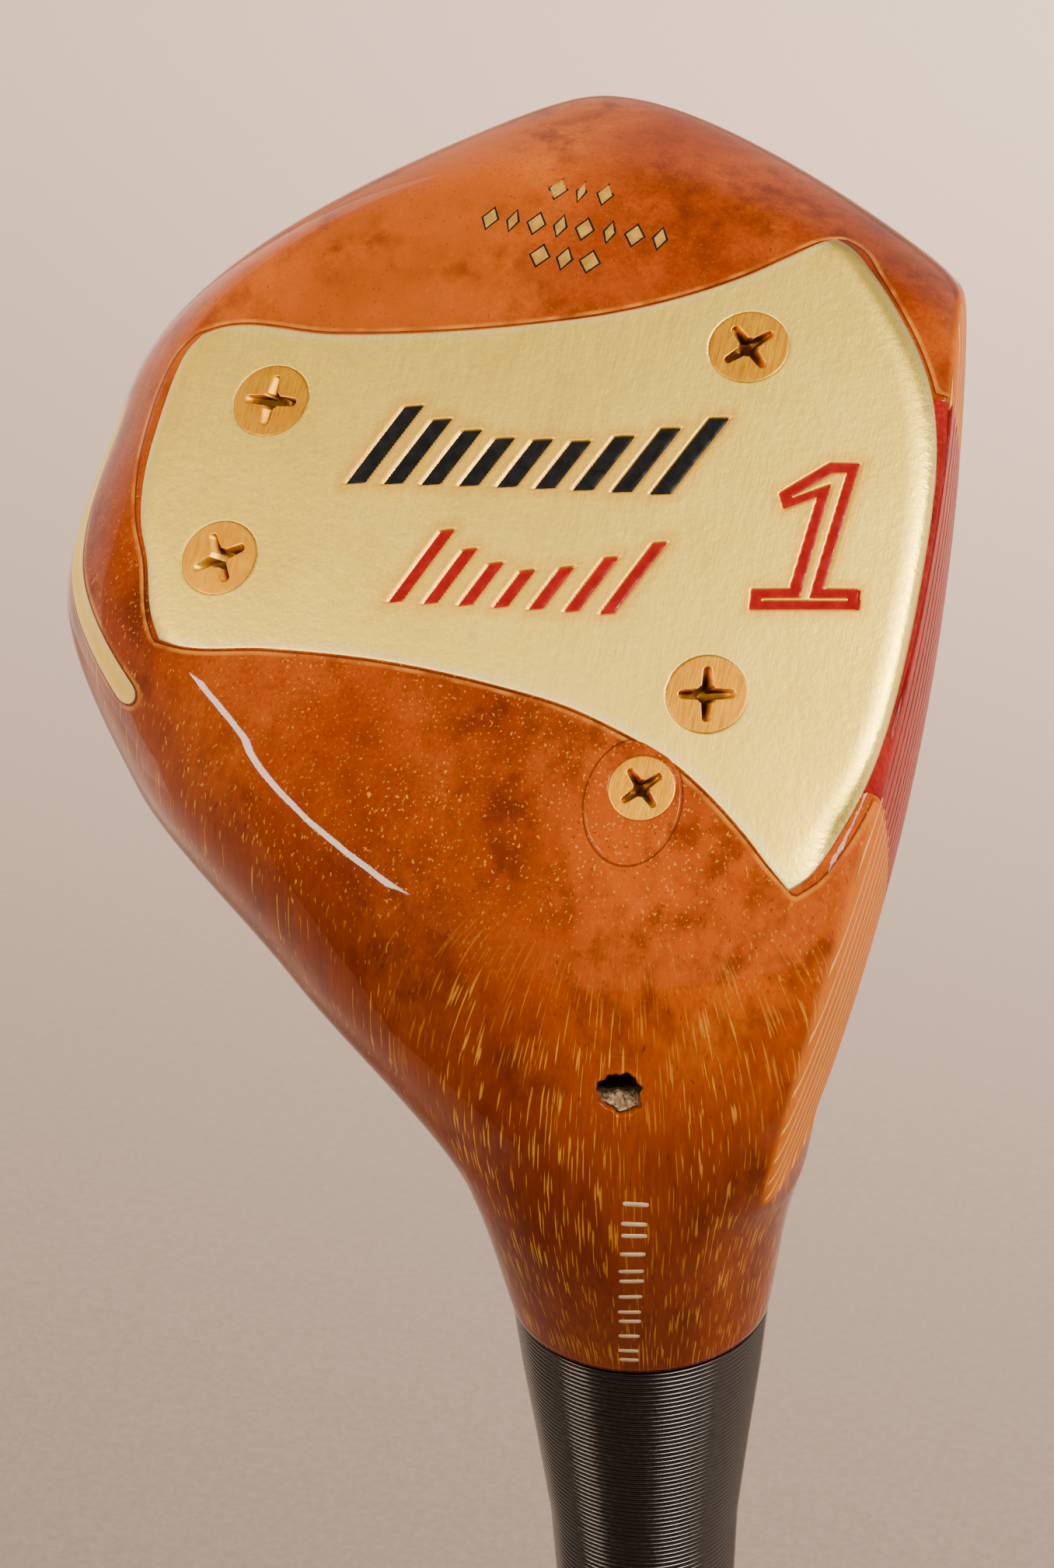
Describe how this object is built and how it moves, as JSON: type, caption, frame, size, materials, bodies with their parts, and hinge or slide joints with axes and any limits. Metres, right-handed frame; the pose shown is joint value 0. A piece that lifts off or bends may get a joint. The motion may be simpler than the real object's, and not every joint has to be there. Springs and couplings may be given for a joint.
{
  "type": "wooden golf driver",
  "caption": "Right-handed wooden-headed golf driver with a brass sole plate, fibre face insert, bound neck, stepped steel shaft and leather grip.",
  "frame": {"origin": "middle of the butt end of the grip, on the shaft axis", "axes": "+Z along the shaft from the butt to the head, +X the way the face looks, +Y level across the shaft towards the toe"},
  "size_m": [0.0921, 0.0963, 1.1279],
  "materials": {
    "persimmon": "oil-hardened persimmon under a clear gloss coat",
    "plate_brass": "brushed brass under yellowed lacquer",
    "screw_brass": "worn yellow brass",
    "red_enamel": "red paint fill",
    "black_enamel": "black paint fill",
    "lead": "dull lead",
    "red_fibre": "vulcanised fibre, lacquered",
    "plug_wood": "stained dowel",
    "plain_wood": "plain dowel",
    "steel": "bright steel",
    "chrome": "chromed steel",
    "thread": "waxed black thread",
    "black_plastic": "black plastic",
    "tape": "wrapped underlisting",
    "leather": "black calfskin"
  },
  "bodies": {
    "root": {"head_body": "persimmon", "sole_plate": "plate_brass", "sole_plate_screws": "screw_brass", "numeral_paint": "red_enamel", "black_motif_paint": "black_enamel", "red_motif_paint": "red_enamel", "lead_weight": "lead", "face_insert": "red_fibre", "insert_screws": "screw_brass", "back_weight": "plate_brass", "heel_plug": "plug_wood", "heel_lock_screw": "screw_brass", "tip_plug": "plain_wood", "neck_pin": "steel", "whipping": "thread", "neck_ferrule": "black_plastic", "shaft": "chrome", "grip_collar": "black_plastic", "grip_underlisting": "tape", "grip_leather": "leather", "butt_binding": "black_plastic", "butt_cap": "black_plastic", "butt_cap_screw": "steel", "butt_plug": "plain_wood"}
  },
  "joints": []
}
